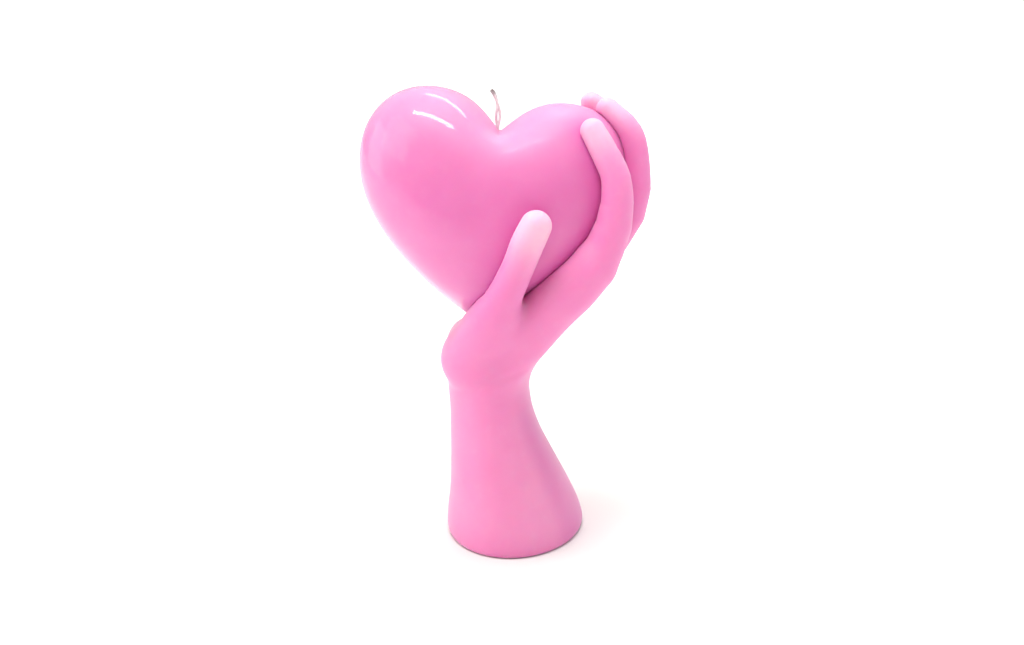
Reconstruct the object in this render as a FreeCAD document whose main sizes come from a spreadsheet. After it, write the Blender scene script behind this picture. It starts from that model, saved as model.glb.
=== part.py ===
"""Sculpted wax candle: a right hand on a flared forearm holds a puffed heart.

The origin is the centre of the oval face the candle stands on. X runs to the
side the fingers are on, Y runs from the thumb to the back, Z is up.
"""
import FreeCAD, Part
import math
import os

V = FreeCAD.Vector

# ---------------------------------------------------------------- sizes (mm and degrees)
SIZES = {
    # forearm: an oval foot that flares out from a slim wrist
    "BaseHalfWidth": 32.6,
    "BaseHalfDepth": 42.5,
    "BaseTwist": 10.0,
    "WristHalfWidth": 19.0,
    "WristHalfDepth": 26.6,
    "WristHeight": 72.0,
    "WristLean": -12.8,
    "BaseEdge": 2.5,
    # palm: a cupped slab from the wrist up to the knuckles
    "PalmLength": 66.0,
    "PalmPitch": 48.0,
    "PalmHalfWidth": 33.5,
    "PalmHalfThickness": 10.2,
    "HeelRadius": 13.5,
    "HeelHalfDepth": 27.0,
    "ThenarRadius": 15.0,
    "JointSwell": 1.04,
    # heart, measured in its own frame from the cleft between the lobes
    "HeartHalfWidth": 61.0,
    "HeartDrop": 86.0,
    "HeartLobeRise": 16.2,
    "HeartLobeRadius": 30.8,
    "HeartSideRadius": 95.0,
    "HeartHalfThickness": 36.0,
    "HeartTilt": 7.4,
    # where the hand holds it: its right edge in the fingers, its point on the palm
    "GripX": 52.9,
    "SeatZ": 103.3,
    # wick and the pressed tab that holds its foot
    "WickDiameter": 2.1,
    "WickStub": 9.0,
    "WickBendRadius": 16.0,
    "WickBendAngle": 38.0,
    "TabDiameter": 20.0,
    "TabThickness": 0.5,
    "TabNeckDiameter": 4.0,
    "TabNeckHeight": 6.0,
    "TabGap": 0.1,
}

# Each finger: where its knuckle is, then length, pitch above X and sideways drift of
# its three bones, then the radius at the knuckle, the two joints and the fingertip.
FINGERS = {
    "index": {
        "KnuckleX": 33.2, "KnuckleY": -25.0, "KnuckleZ": 132.5,
        "Length1": 33.3, "Length2": 18.7, "Length3": 12.8,
        "Pitch1": 71.0, "Pitch2": 106.5, "Pitch3": 120.5,
        "Drift1": -1.0, "Drift2": 4.0, "Drift3": 4.0,
        "Radius1": 9.2, "Radius2": 7.0, "Radius3": 6.0, "Radius4": 5.3,
    },
    "middle": {
        "KnuckleX": 34.5, "KnuckleY": -8.0, "KnuckleZ": 131.5,
        "Length1": 39.2, "Length2": 22.5, "Length3": 14.8,
        "Pitch1": 62.0, "Pitch2": 98.0, "Pitch3": 133.5,
        "Drift1": 1.5, "Drift2": 3.5, "Drift3": 5.0,
        "Radius1": 9.4, "Radius2": 7.1, "Radius3": 6.2, "Radius4": 5.2,
    },
    "fourth": {
        "KnuckleX": 33.5, "KnuckleY": 10.0, "KnuckleZ": 127.5,
        "Length1": 40.0, "Length2": 26.2, "Length3": 16.8,
        "Pitch1": 62.5, "Pitch2": 102.5, "Pitch3": 138.0,
        "Drift1": 2.0, "Drift2": 1.5, "Drift3": 1.5,
        "Radius1": 9.2, "Radius2": 6.9, "Radius3": 5.9, "Radius4": 4.7,
    },
    "little": {
        "KnuckleX": 30.0, "KnuckleY": 25.0, "KnuckleZ": 120.5,
        "Length1": 32.0, "Length2": 22.2, "Length3": 14.8,
        "Pitch1": 68.0, "Pitch2": 98.0, "Pitch3": 119.5,
        "Drift1": 3.5, "Drift2": 0.5, "Drift3": 0.0,
        "Radius1": 8.2, "Radius2": 6.1, "Radius3": 5.2, "Radius4": 4.4,
    },
    "thumb": {
        "KnuckleX": -9.0, "KnuckleY": -29.5, "KnuckleZ": 114.0,
        "Length1": 14.5, "Length2": 24.2, "Length3": 8.2,
        "Pitch1": 67.5, "Pitch2": 69.0, "Pitch3": 65.5,
        "Drift1": -6.5, "Drift2": -5.8, "Drift3": -0.4,
        "Radius1": 9.8, "Radius2": 7.5, "Radius3": 7.1, "Radius4": 6.7,
    },
}

# Shares of the forearm: (height, flare, lean). Flare 1 is the foot, 0 the wrist.
FOREARM = (
    (0.0, 1.0, 0.0),
    (0.11, 0.905, 0.09),
    (0.28, 0.675, 0.25),
    (0.49, 0.395, 0.52),
    (0.69, 0.135, 0.79),
    (0.86, 0.015, 0.94),
    (1.0, 0.0, 1.0),
    (1.16, 0.07, 0.96),
)

# Shares of the palm: (way along it, thickness and width against those at the knuckles,
# degrees its section is steeper than the palm's own pitch, degrees it rolls so that the
# little finger's side drops back).
PALM = (
    (0.0, 1.75, 0.8, 26.0, 0.0),
    (0.3, 1.42, 0.92, 10.0, 2.0),
    (0.62, 1.16, 0.99, 0.0, 5.0),
    (0.92, 1.0, 1.0, 3.0, 8.0),
    (1.05, 0.66, 0.95, 6.0, 8.0),
)

# Where the heart is sliced: the angle from its front pole, in degrees.
HEART_SLICES = (12.0, 30.0, 50.0, 70.0, 90.0, 110.0, 130.0, 150.0, 168.0)

# The cleft between the lobes, found from where the hand holds the heart.
CLEFT_X = "(Sizes.GripX - Sizes.HeartHalfWidth * cos(Sizes.HeartTilt * 1 deg))"
CLEFT_Z = "(Sizes.SeatZ + Sizes.HeartDrop * cos(Sizes.HeartTilt * 1 deg))"

doc = FreeCAD.newDocument("candle")
sheet = doc.addObject("Spreadsheet::Sheet", "Sizes")


def fill_sheet():
    """Write every size into the sheet under its own name."""
    values = dict(SIZES)
    for finger, sizes in FINGERS.items():
        for word, value in sizes.items():
            values[finger.capitalize() + word] = value
    for row, (word, value) in enumerate(values.items(), start=1):
        sheet.set("A%d" % row, word)
        sheet.set("B%d" % row, str(value))
        sheet.setAlias("B%d" % row, word)
    doc.recompute()


def bind(item, **expressions):
    """Tie properties of an object to the sheet; "__" stands for a dot."""
    for name, expression in expressions.items():
        item.setExpression(name.replace("__", "."), expression)


def origin_plane(body, role):
    """The named plane of a body's own origin."""
    return [item for item in body.Origin.OriginFeatures if item.Role == role][0]


def solid_loft(name, sections):
    """A smooth closed loft through the given sections."""
    loft = doc.addObject("Part::Loft", name)
    loft.Sections = sections
    loft.Solid = True
    loft.Ruled = False
    return loft


def combine(kind, name, items):
    """Fuse a list, or cut the second item from the first."""
    result = doc.addObject(kind, name)
    if kind == "Part::MultiFuse":
        result.Shapes = items
    else:
        result.Base, result.Tool = items
    return result


# ---------------------------------------------------------------- forearm and palm
def oval(name, half_width, half_depth, where, turn):
    """An ellipse whose long way is Y, placed at a point and turned."""
    ring = doc.addObject("Part::Ellipse", name)
    bind(
        ring,
        MajorRadius="(%s) * 1 mm" % half_depth,
        MinorRadius="(%s) * 1 mm" % half_width,
        Placement="placement(vector(%s); %s * rotation(vector(0; 0; 1); 90))"
        % (where, turn),
    )
    return ring


def forearm():
    """The flared forearm, from the foot to just inside the palm."""
    rings = []
    for number, (height, flare, lean) in enumerate(FOREARM, start=1):
        width = "Sizes.WristHalfWidth + (Sizes.BaseHalfWidth - Sizes.WristHalfWidth) * %g" % flare
        depth = "Sizes.WristHalfDepth + (Sizes.BaseHalfDepth - Sizes.WristHalfDepth) * %g" % flare
        where = "Sizes.WristLean * %g; 0; Sizes.WristHeight * %g" % (lean, height)
        turn = "rotation(vector(0; 0; 1); -Sizes.BaseTwist * %g)" % flare
        rings.append(oval("arm_ring_%d" % number, width, depth, where, turn))
    arm = solid_loft("arm_loft", rings)
    doc.recompute()
    foot = doc.addObject("Part::Fillet", "arm")
    foot.Base = arm
    low = [
        number
        for number, edge in enumerate(arm.Shape.Edges, start=1)
        if edge.BoundBox.ZMax < 0.01
    ]
    edge = sheet.get("BaseEdge")
    foot.Edges = [(number, float(edge), float(edge)) for number in low]
    return foot


def palm():
    """The cupped slab of the palm, ending under the knuckles."""
    rings = []
    for number, (way, thick, wide, steeper, roll) in enumerate(PALM, start=1):
        run = "Sizes.PalmLength * %g" % way
        where = (
            "Sizes.WristLean + %s * cos(Sizes.PalmPitch * 1 deg); 0.5;"
            " Sizes.WristHeight + 7 + %s * sin(Sizes.PalmPitch * 1 deg)" % (run, run)
        )
        turn = (
            "rotation(vector(0; 1; 0); 90 - Sizes.PalmPitch - %g)"
            " * rotation(vector(0; 0; 1); -%g)" % (steeper, roll)
        )
        rings.append(
            oval(
                "palm_ring_%d" % number,
                "Sizes.PalmHalfThickness * %g" % thick,
                "Sizes.PalmHalfWidth * %g" % wide,
                where,
                turn,
            )
        )
    return solid_loft("palm", rings)


def pad(name, radii, where):
    """An ellipsoid for one of the fleshy pads of the palm."""
    lump = doc.addObject("Part::Ellipsoid", name)
    lump.Angle1 = -90
    lump.Angle2 = 90
    lump.Angle3 = 360
    across, along, tall = radii
    bind(
        lump,
        Radius1="(%s) * 1 mm" % tall,
        Radius2="(%s) * 1 mm" % across,
        Radius3="(%s) * 1 mm" % along,
        Placement="placement(vector(%s); rotation(vector(0; 0; 1); 0))" % where,
    )
    return lump


# ---------------------------------------------------------------- fingers
def bone(name, start, radii, length, pitch, drift):
    """A tapered length of finger from one joint towards the next."""
    cone = doc.addObject("Part::Cone", name)
    bind(
        cone,
        Radius1="(%s) * 1 mm" % radii[0],
        Radius2="(%s) * 1 mm" % radii[1],
        Height="(%s) * 1 mm" % length,
        Placement="placement(vector(%s; %s; %s); rotation(vector(0; 1; 0); 90 - %s)"
        " * rotation(vector(1; 0; 0); -asin((%s) / (%s))))" % (*start, pitch, drift, length),
    )
    return cone


def ball(name, centre, radius):
    """A rounded joint or fingertip."""
    sphere = doc.addObject("Part::Sphere", name)
    bind(
        sphere,
        Radius="(%s) * 1 mm" % radius,
        Placement="placement(vector(%s; %s; %s); rotation(vector(0; 0; 1); 0))" % centre,
    )
    return sphere


def finger(name, root_length, root_pitch, root_drift, root_share):
    """One finger, with the end of its bone that lies hidden in the palm.

    The hidden bone reaches back from the knuckle by root_length at root_pitch, gaining
    root_drift sideways, and is root_share as thick as the knuckle.
    """
    word = "Sizes." + name.capitalize()
    back = math.sqrt(root_length ** 2 - root_drift ** 2)
    joint = (
        "%sKnuckleX - %g * cos(%g deg)" % (word, back, root_pitch),
        "%sKnuckleY - (%g)" % (word, root_drift),
        "%sKnuckleZ - %g * sin(%g deg)" % (word, back, root_pitch),
    )
    knuckle = (word + "KnuckleX", word + "KnuckleY", word + "KnuckleZ")
    radii = ("%sRadius1 * %g" % (word, root_share), word + "Radius1")
    pieces = [bone(name + "_root", joint, radii, "%g" % root_length, "%g" % root_pitch,
                   "%g" % root_drift)]
    joint = knuckle
    for number in (1, 2, 3):
        length = "%sLength%d" % (word, number)
        pitch = "%sPitch%d" % (word, number)
        drift = "%sDrift%d" % (word, number)
        radii = ("%sRadius%d" % (word, number), "%sRadius%d" % (word, number + 1))
        pieces.append(ball("%s_joint_%d" % (name, number), joint, radii[0] + " * Sizes.JointSwell"))
        pieces.append(bone("%s_bone_%d" % (name, number), joint, radii, length, pitch, drift))
        reach = "sqrt(%s ^ 2 - %s ^ 2)" % (length, drift)
        joint = (
            "%s + %s * cos(%s * 1 deg)" % (joint[0], reach, pitch),
            "%s + %s" % (joint[1], drift),
            "%s + %s * sin(%s * 1 deg)" % (joint[2], reach, pitch),
        )
    pieces.append(ball(name + "_tip", joint, word + "Radius4 * Sizes.JointSwell"))
    return combine("Part::MultiFuse", name, pieces)


# ---------------------------------------------------------------- heart
def heart_slice(number, angle):
    """One heart outline, shrunk towards the belly and set off along Y.

    Each half is a straight flank from the cleft, a round lobe and a long side arc that
    meets its twin at the point.
    """
    share = math.sin(math.radians(angle))
    half = SIZES["HeartHalfWidth"]
    lobe = SIZES["HeartLobeRadius"]
    side = SIZES["HeartSideRadius"]
    drop = SIZES["HeartDrop"]
    lobe_x = half - lobe
    lobe_z = SIZES["HeartLobeRise"] - lobe
    belly = SIZES["HeartDrop"] * 0.65

    # the side arc touches the lobe from outside and runs through the point
    gap = side - lobe
    across = lobe_x
    down = drop + lobe_z
    reach = math.hypot(across, down)
    bend = math.acos((gap * gap + reach * reach - side * side) / (2 * gap * reach))
    to_point = math.atan2(-down, -across)
    away = to_point - bend
    side_x = lobe_x + gap * math.cos(away)
    side_z = lobe_z + gap * math.sin(away)
    turn = math.atan2(lobe_z - side_z, lobe_x - side_x)
    touch = (lobe_x + lobe * math.cos(turn), lobe_z + lobe * math.sin(turn))

    # the flank touches the lobe from the cleft
    cleft_run = math.sqrt(lobe_x ** 2 + lobe_z ** 2 - lobe ** 2)
    lean = math.atan2(lobe_z, lobe_x) + math.asin(lobe / math.hypot(lobe_x, lobe_z))
    flank = (cleft_run * math.cos(lean), cleft_run * math.sin(lean))

    def spot(point, sign):
        """A point of the outline in the slice, measured from the belly."""
        return V(sign * share * point[0], share * (point[1] + belly), 0)

    def angle_of(point, centre, sign):
        """Direction of a point from a centre, in the slice."""
        return math.atan2(point[1] - centre[1], sign * (point[0] - centre[0]))

    sketch = doc.addObject("Sketcher::SketchObject", "heart_slice_%d" % number)
    up = V(0, 0, 1)
    for sign in (1, -1):
        sketch.addGeometry(Part.LineSegment(spot((0, 0), sign), spot(flank, sign)), False)
        centre = (lobe_x, lobe_z)
        ends = (angle_of(touch, centre, sign), angle_of(flank, centre, sign))
        ends = ends if sign > 0 else ends[::-1]
        circle = Part.Circle(spot(centre, sign), up, lobe * share)
        sketch.addGeometry(Part.ArcOfCircle(circle, *ends), False)
        centre = (side_x, side_z)
        ends = (angle_of((0, -drop), centre, sign), angle_of(touch, centre, sign))
        ends = ends if sign > 0 else ends[::-1]
        circle = Part.Circle(spot(centre, sign), up, side * share)
        sketch.addGeometry(Part.ArcOfCircle(circle, *ends), False)
    return sketch


def constrain_heart(sketch, angle):
    """Join, round and size one heart outline from the sheet."""
    import Sketcher

    rule = Sketcher.Constraint
    scale = "sin(%g deg)" % angle
    add = sketch.addConstraint
    # right half: flank 0, lobe 1, side 2; left half: flank 3, lobe 4, side 5
    add(rule("Coincident", 0, 1, 3, 1))
    add(rule("PointOnObject", 0, 1, -2))
    add(rule("Tangent", 0, 2, 1, 2))
    add(rule("Tangent", 1, 1, 2, 2))
    add(rule("Tangent", 3, 2, 4, 1))
    add(rule("Tangent", 4, 2, 5, 1))
    add(rule("Coincident", 2, 1, 5, 2))
    add(rule("PointOnObject", 2, 1, -2))
    add(rule("Equal", 1, 4))
    add(rule("Equal", 2, 5))
    add(rule("Symmetric", 1, 3, 4, 3, -2))
    lobe, flank, side = sketch.Geometry[1], sketch.Geometry[0], sketch.Geometry[2]
    sizes = (
        (("Radius", 1, lobe.Radius), "Sizes.HeartLobeRadius"),
        (("Radius", 2, side.Radius), "Sizes.HeartSideRadius"),
        (
            ("DistanceX", -1, 1, 1, 3, lobe.Center.x),
            "Sizes.HeartHalfWidth - Sizes.HeartLobeRadius",
        ),
        (
            ("DistanceY", -1, 1, 1, 3, lobe.Center.y),
            "Sizes.HeartDrop * 0.65 + Sizes.HeartLobeRise - Sizes.HeartLobeRadius",
        ),
        (("DistanceY", 2, 1, -1, 1, -side.StartPoint.y), "Sizes.HeartDrop * 0.35"),
        (("DistanceY", -1, 1, 0, 1, flank.StartPoint.y), "Sizes.HeartDrop * 0.65"),
    )
    for constraint, expression in sizes:
        at = add(rule(*constraint))
        sketch.setExpression("Constraints[%d]" % at, "(%s) * %s * 1 mm" % (expression, scale))


def place_heart(item, angle):
    """Stand a slice up, tilt it and set it off along Y."""
    lean = "Sizes.HeartTilt * 1 deg"
    where = (
        "%s - Sizes.HeartDrop * 0.65 * sin(%s); -Sizes.HeartHalfThickness * cos(%g deg);"
        " %s - Sizes.HeartDrop * 0.65 * cos(%s)" % (CLEFT_X, lean, angle, CLEFT_Z, lean)
    )
    turn = "rotation(vector(0; 1; 0); Sizes.HeartTilt) * rotation(vector(1; 0; 0); 90)"
    bind(item, Placement="placement(vector(%s); %s)" % (where, turn))


def heart_blank():
    """The whole puffed heart, before the wick's way is taken out."""
    sections = []
    for number, angle in enumerate(HEART_SLICES, start=1):
        sketch = heart_slice(number, angle)
        constrain_heart(sketch, angle)
        place_heart(sketch, angle)
        sections.append(sketch)
    doc.recompute()
    front = doc.addObject("Part::Vertex", "heart_front")
    place_heart(front, 0.0)
    back = doc.addObject("Part::Vertex", "heart_back")
    place_heart(back, 180.0)
    return solid_loft("heart_blank", [front] + sections + [back])


# ---------------------------------------------------------------- wick and tab
def wick_route(body, name):
    """The line the wick follows: straight up to the cleft and past it, then a bend."""
    import Sketcher

    rule = Sketcher.Constraint
    sketch = body.newObject("Sketcher::SketchObject", name)
    sketch.AttachmentSupport = [(origin_plane(body, "XZ_Plane"), "")]
    sketch.MapMode = "FlatFace"
    foot = V(0, SIZES["TabThickness"], 0)
    upright = math.cos(math.radians(SIZES["HeartTilt"]))
    cleft_x = SIZES["GripX"] - SIZES["HeartHalfWidth"] * upright
    cleft = V(cleft_x, SIZES["SeatZ"] + SIZES["HeartDrop"] * upright, 0)
    along = (cleft - foot).normalize()
    top = cleft + along * SIZES["WickStub"]
    bend = SIZES["WickBendRadius"]
    centre = top + V(-along.y, along.x, 0) * bend
    start = math.atan2(top.y - centre.y, top.x - centre.x)
    sketch.addGeometry(Part.LineSegment(foot, top), False)
    circle = Part.Circle(centre, V(0, 0, 1), bend)
    turn = math.radians(SIZES["WickBendAngle"])
    sketch.addGeometry(Part.ArcOfCircle(circle, start, start + turn), False)
    sketch.addGeometry(Part.Point(cleft), True)
    add = sketch.addConstraint
    add(rule("Tangent", 0, 2, 1, 1))
    add(rule("PointOnObject", 0, 1, -2))
    add(rule("PointOnObject", 2, 1, 0))
    sizes = (
        (rule("DistanceY", -1, 1, 0, 1, foot.y), "Sizes.TabThickness"),
        (rule("DistanceX", 2, 1, -1, 1, -cleft.x), "-" + CLEFT_X),
        (rule("DistanceY", -1, 1, 2, 1, cleft.y), CLEFT_Z),
        (rule("Distance", 2, 1, 0, 2, SIZES["WickStub"]), "Sizes.WickStub"),
        (rule("Radius", 1, bend), "Sizes.WickBendRadius"),
    )
    for constraint, expression in sizes:
        at = add(constraint)
        sketch.setExpression("Constraints[%d]" % at, "(%s) * 1 mm" % expression)
    at = add(rule("Angle", 1, turn))
    sketch.setExpression("Constraints[%d]" % at, "Sizes.WickBendAngle * 1 deg")
    return sketch


def wick():
    """The wick, whole from the tab in the foot to its bent free end."""
    import Sketcher

    body = doc.addObject("PartDesign::Body", "wick")
    route = wick_route(body, "wick_route")
    ring = body.newObject("Sketcher::SketchObject", "wick_section")
    ring.AttachmentSupport = [(origin_plane(body, "XY_Plane"), "")]
    ring.MapMode = "FlatFace"
    bind(ring, AttachmentOffset__Base__z="Sizes.TabThickness * 1 mm")
    circle = Part.Circle(V(0, 0, 0), V(0, 0, 1), SIZES["WickDiameter"] / 2)
    ring.addGeometry(circle, False)
    ring.addConstraint(Sketcher.Constraint("Coincident", 0, 3, -1, 1))
    at = ring.addConstraint(Sketcher.Constraint("Diameter", 0, SIZES["WickDiameter"]))
    ring.setExpression("Constraints[%d]" % at, "Sizes.WickDiameter * 1 mm")
    doc.recompute()
    pipe = body.newObject("PartDesign::AdditivePipe", "wick_pipe")
    pipe.Profile = ring
    pipe.Spine = (route, ["Edge1", "Edge2"])
    pipe.Mode = "Frenet"
    body.Tip = pipe
    return body


def corner_sketch(body, name, points, expressions):
    """A closed outline in the XZ plane whose corners follow the sheet.

    points gives the corners as numbers, expressions the same as (across, up) text.
    """
    import Sketcher

    rule = Sketcher.Constraint
    sketch = body.newObject("Sketcher::SketchObject", name)
    sketch.AttachmentSupport = [(origin_plane(body, "XZ_Plane"), "")]
    sketch.MapMode = "FlatFace"
    corners = [V(across, up, 0) for across, up in points]
    for start, end in zip(corners, corners[1:] + corners[:1]):
        sketch.addGeometry(Part.LineSegment(start, end), False)
    count = len(corners)
    for number in range(count):
        sketch.addConstraint(rule("Coincident", number, 2, (number + 1) % count, 1))
    for number, (corner, (across, up)) in enumerate(zip(corners, expressions)):
        for kind, value, text in (
            ("DistanceX", corners[number].x, across),
            ("DistanceY", corners[number].y, up),
        ):
            at = sketch.addConstraint(rule(kind, -1, 1, number, 1, value))
            sketch.setExpression("Constraints[%d]" % at, "(%s) * 1 mm" % text)
    return sketch


def turned(name, points, expressions):
    """A body turned from one closed outline."""
    body = doc.addObject("PartDesign::Body", name)
    sketch = corner_sketch(body, name + "_outline", points, expressions)
    doc.recompute()
    spin = body.newObject("PartDesign::Revolution", name + "_turned")
    spin.Profile = sketch
    spin.ReferenceAxis = (sketch, ["V_Axis"])
    spin.Angle = 360
    body.Tip = spin
    return body


def disc_and_neck(name, gap, bottom):
    """A disc on the foot with a neck on it, the disc wider by gap and down to bottom."""
    wide, neck = SIZES["TabDiameter"] / 2 + SIZES["TabGap"] * gap, SIZES["TabNeckDiameter"] / 2
    floor = SIZES["TabThickness"]
    high = floor + SIZES["TabNeckHeight"]
    wide_text = "Sizes.TabDiameter / 2 + Sizes.TabGap * %d" % gap
    neck_text, low_text = "Sizes.TabNeckDiameter / 2", str(bottom)
    floor_text, high_text = "Sizes.TabThickness", "Sizes.TabThickness + Sizes.TabNeckHeight"
    points = [(0, bottom), (wide, bottom), (wide, floor), (neck, floor), (neck, high), (0, high)]
    texts = [("0", low_text), (wide_text, low_text), (wide_text, floor_text)]
    texts += [(neck_text, floor_text), (neck_text, high_text), ("0", high_text)]
    return turned(name, points, texts)


# ---------------------------------------------------------------- build
fill_sheet()
blank = heart_blank()
wick_body = wick()
# the tab is flush with the foot, its pocket is open below and wider by the gap
tab_blank = disc_and_neck("tab_blank", gap=0, bottom=0)
pocket = disc_and_neck("tab_pocket", gap=1, bottom=-1)

flesh = combine("Part::MultiFuse", "arm_and_palm", [
    forearm(),
    palm(),
    pad("heel", ("Sizes.HeelRadius", "Sizes.HeelHalfDepth", "Sizes.HeelRadius + 1"),
        "Sizes.WristLean - 8.4; 0; Sizes.WristHeight + 13.5"),
    pad("thenar", ("Sizes.ThenarRadius - 1", "Sizes.ThenarRadius", "Sizes.ThenarRadius + 3"),
        "Sizes.WristLean - 4; -14; Sizes.WristHeight + 24"),
])
whole = flesh
for digit in (
    finger("index", 15.0, 47.0, 2.0, 0.9),
    finger("middle", 17.0, 47.0, 0.0, 0.9),
    finger("fourth", 17.0, 47.0, 0.0, 0.9),
    finger("little", 15.0, 47.0, -1.0, 0.9),
    finger("thumb", 22.0, 66.0, -12.0, 1.25),
):
    whole = combine("Part::MultiFuse", "hand_with_" + digit.Name, [whole, digit])
nested = combine("Part::Cut", "hand_nested", [whole, blank])
bored = combine("Part::Cut", "hand_bored", [nested, pocket])
hand = combine("Part::Cut", "hand", [bored, wick_body])
heart = combine("Part::Cut", "heart", [blank, wick_body])
tab = combine("Part::Cut", "wick_tab", [tab_blank, wick_body])
doc.recompute()

PARTS = {"hand": hand, "heart": heart, "wick": wick_body, "wick_tab": tab}
for item in doc.Objects:
    if "Invalid" in item.State or "Error" in item.State:
        raise RuntimeError("%s did not rebuild: %s" % (item.Name, item.State))
for node, item in PARTS.items():
    shape = item.Shape
    if shape.isNull() or not shape.isValid() or len(shape.Solids) != 1:
        raise RuntimeError("%s is not one sound solid" % node)
    print(node, "volume %.0f mm3" % shape.Volume, shape.BoundBox)

os.makedirs("parts", exist_ok=True)
for node, item in PARTS.items():
    item.Label = node
    item.Shape.exportStep("parts/%s.step" % node)
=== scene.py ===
"""Looks for the sculpted candle: wax, cotton, tin, a pale floor and soft studio light.

Heart and hand are distance fields, netted into even meshes; the wick is a bundle of tubes.
Shapes are worked out in millimetres in the part's own frame and become metres only
when a mesh is made. X runs to the side the fingers are on, Y to the back, Z is up.
"""

import logging
import math
from dataclasses import dataclass
from enum import Enum, IntEnum
from functools import partial
from typing import Any, Callable, Optional, Sequence, Union

import bpy
import numpy as np
from mathutils import Matrix, Vector

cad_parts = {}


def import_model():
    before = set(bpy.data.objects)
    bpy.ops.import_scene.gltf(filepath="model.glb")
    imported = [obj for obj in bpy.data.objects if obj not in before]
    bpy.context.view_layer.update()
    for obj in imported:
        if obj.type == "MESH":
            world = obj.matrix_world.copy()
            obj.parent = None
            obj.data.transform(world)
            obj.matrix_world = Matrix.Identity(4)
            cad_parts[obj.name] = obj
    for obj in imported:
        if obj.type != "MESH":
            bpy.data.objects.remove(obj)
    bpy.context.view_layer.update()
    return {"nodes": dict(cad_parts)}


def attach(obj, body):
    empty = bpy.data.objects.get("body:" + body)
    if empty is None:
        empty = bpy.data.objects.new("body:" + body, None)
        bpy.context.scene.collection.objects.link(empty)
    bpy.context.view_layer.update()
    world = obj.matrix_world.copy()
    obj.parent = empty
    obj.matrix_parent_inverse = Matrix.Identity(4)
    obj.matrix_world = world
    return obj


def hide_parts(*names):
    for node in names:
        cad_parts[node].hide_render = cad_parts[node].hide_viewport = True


LOG = logging.getLogger("candle")
MM = 0.001
TINY = 1e-6
NOISE_ROUGHNESS = 0.55
Point = tuple[float, float, float]
Colour = tuple[float, float, float]
Span = tuple[float, float]
Level = Union[float, np.ndarray]
Field = Callable[[np.ndarray], np.ndarray]
Rows = Union[np.ndarray, Sequence[Sequence[int]]]
WHITE: Colour = (1.0, 1.0, 1.0)
BLACK: Colour = (0.0, 0.0, 0.0)


class Tint(Enum):
    """Numbers from 0 to 1 that are painted on the wax, by the name a material reads."""

    # painted light: paler wax where light falls strongly
    PAINTED_LIGHT = "pale"
    # painted shade: deeper wax in recesses and down the fingers' side of the forearm
    RECESS_SHADE = "recess_shade"
    POLISH = "polish"


# ---------------------------------------------------------------- distance fields
def round_cone(points: np.ndarray, start: np.ndarray, end: np.ndarray,
               first: float, last: float) -> np.ndarray:
    """Distance to a cone with a ball at each end.

    Args:
        points: places to measure from, one row each.
        start: centre of the first ball.
        end: centre of the last ball.
        first: radius of the first ball.
        last: radius of the last ball.

    Returns:
        Signed distances in millimetres, negative inside.
    """
    axis = end - start
    length2 = float(axis @ axis)
    fall = first - last
    slant2 = length2 - fall * fall
    offset = points - start
    along = offset @ axis
    beyond = along - length2
    across = offset * length2 - along[:, None] * axis
    across2 = np.einsum("ij,ij->i", across, across)
    along2 = along * along * length2
    beyond2 = beyond * beyond * length2
    slope = math.copysign(fall * fall, fall) * across2
    side = (np.sqrt(across2 * slant2 / length2) + along * fall) / length2 - first
    low = np.sqrt(across2 + along2) / length2 - first
    high = np.sqrt(across2 + beyond2) / length2 - last
    result = np.where(np.sign(along) * slant2 * along2 < slope, low, side)
    return np.where(np.sign(beyond) * slant2 * beyond2 > slope, high, result)


def blend_in(first: np.ndarray, second: np.ndarray, reach: float) -> np.ndarray:
    """Union of two fields with a soft fillet.

    Args:
        first: one field.
        second: the other field.
        reach: how far the fillet reaches, in millimetres.

    Returns:
        The joined field.
    """
    near = np.maximum(reach - np.abs(first - second), 0.0) / reach
    return np.minimum(first, second) - near ** 3 * reach / 6.0


def cut_away(first: np.ndarray, second: np.ndarray, reach: float) -> np.ndarray:
    """The first field without the second, with a softened edge.

    Args:
        first: field that is kept.
        second: field that is taken away.
        reach: how far the softening reaches, in millimetres.

    Returns:
        The field that is left.
    """
    return -blend_in(-first, second, reach)


def lengths(line: np.ndarray) -> np.ndarray:
    """How far along a line each of its points lies."""
    return np.concatenate([[0.0], np.cumsum(np.linalg.norm(np.diff(line, axis=0), axis=1))])


def around(turn: np.ndarray, side: np.ndarray, up: np.ndarray) -> np.ndarray:
    """Directions that turn from side towards up, by angles in radians."""
    return np.cos(turn)[:, None] * side + np.sin(turn)[:, None] * up


def closeness(gap: np.ndarray, reach: float) -> np.ndarray:
    """1 where a gap is closed, fading towards 0 as it opens past the reach."""
    return np.exp(-np.maximum(gap, 0.0) / reach)


def slopes(field: Field, points: np.ndarray, reach: float) -> np.ndarray:
    """Slope of a field along each axis, by central differences.

    Args:
        field: what is looked at.
        points: places in millimetres, one row each.
        reach: how far to each side the field is read.

    Returns:
        One row of three slopes for each place.
    """
    rows = []
    for axis in range(3):
        shift = np.zeros(3)
        shift[axis] = reach
        rows.append((field(points + shift) - field(points - shift)) / (2 * reach))
    return np.stack(rows, 1)


def smooth_step(values: np.ndarray, low: Level, high: Level) -> np.ndarray:
    """An even climb from 0 at low to 1 at high.

    Args:
        values: what is looked up.
        low: where the climb starts.
        high: where it ends.

    Returns:
        Values from 0 to 1.
    """
    share = np.clip((values - low) / (high - low), 0.0, 1.0)
    return share * share * (3.0 - 2.0 * share)


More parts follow.
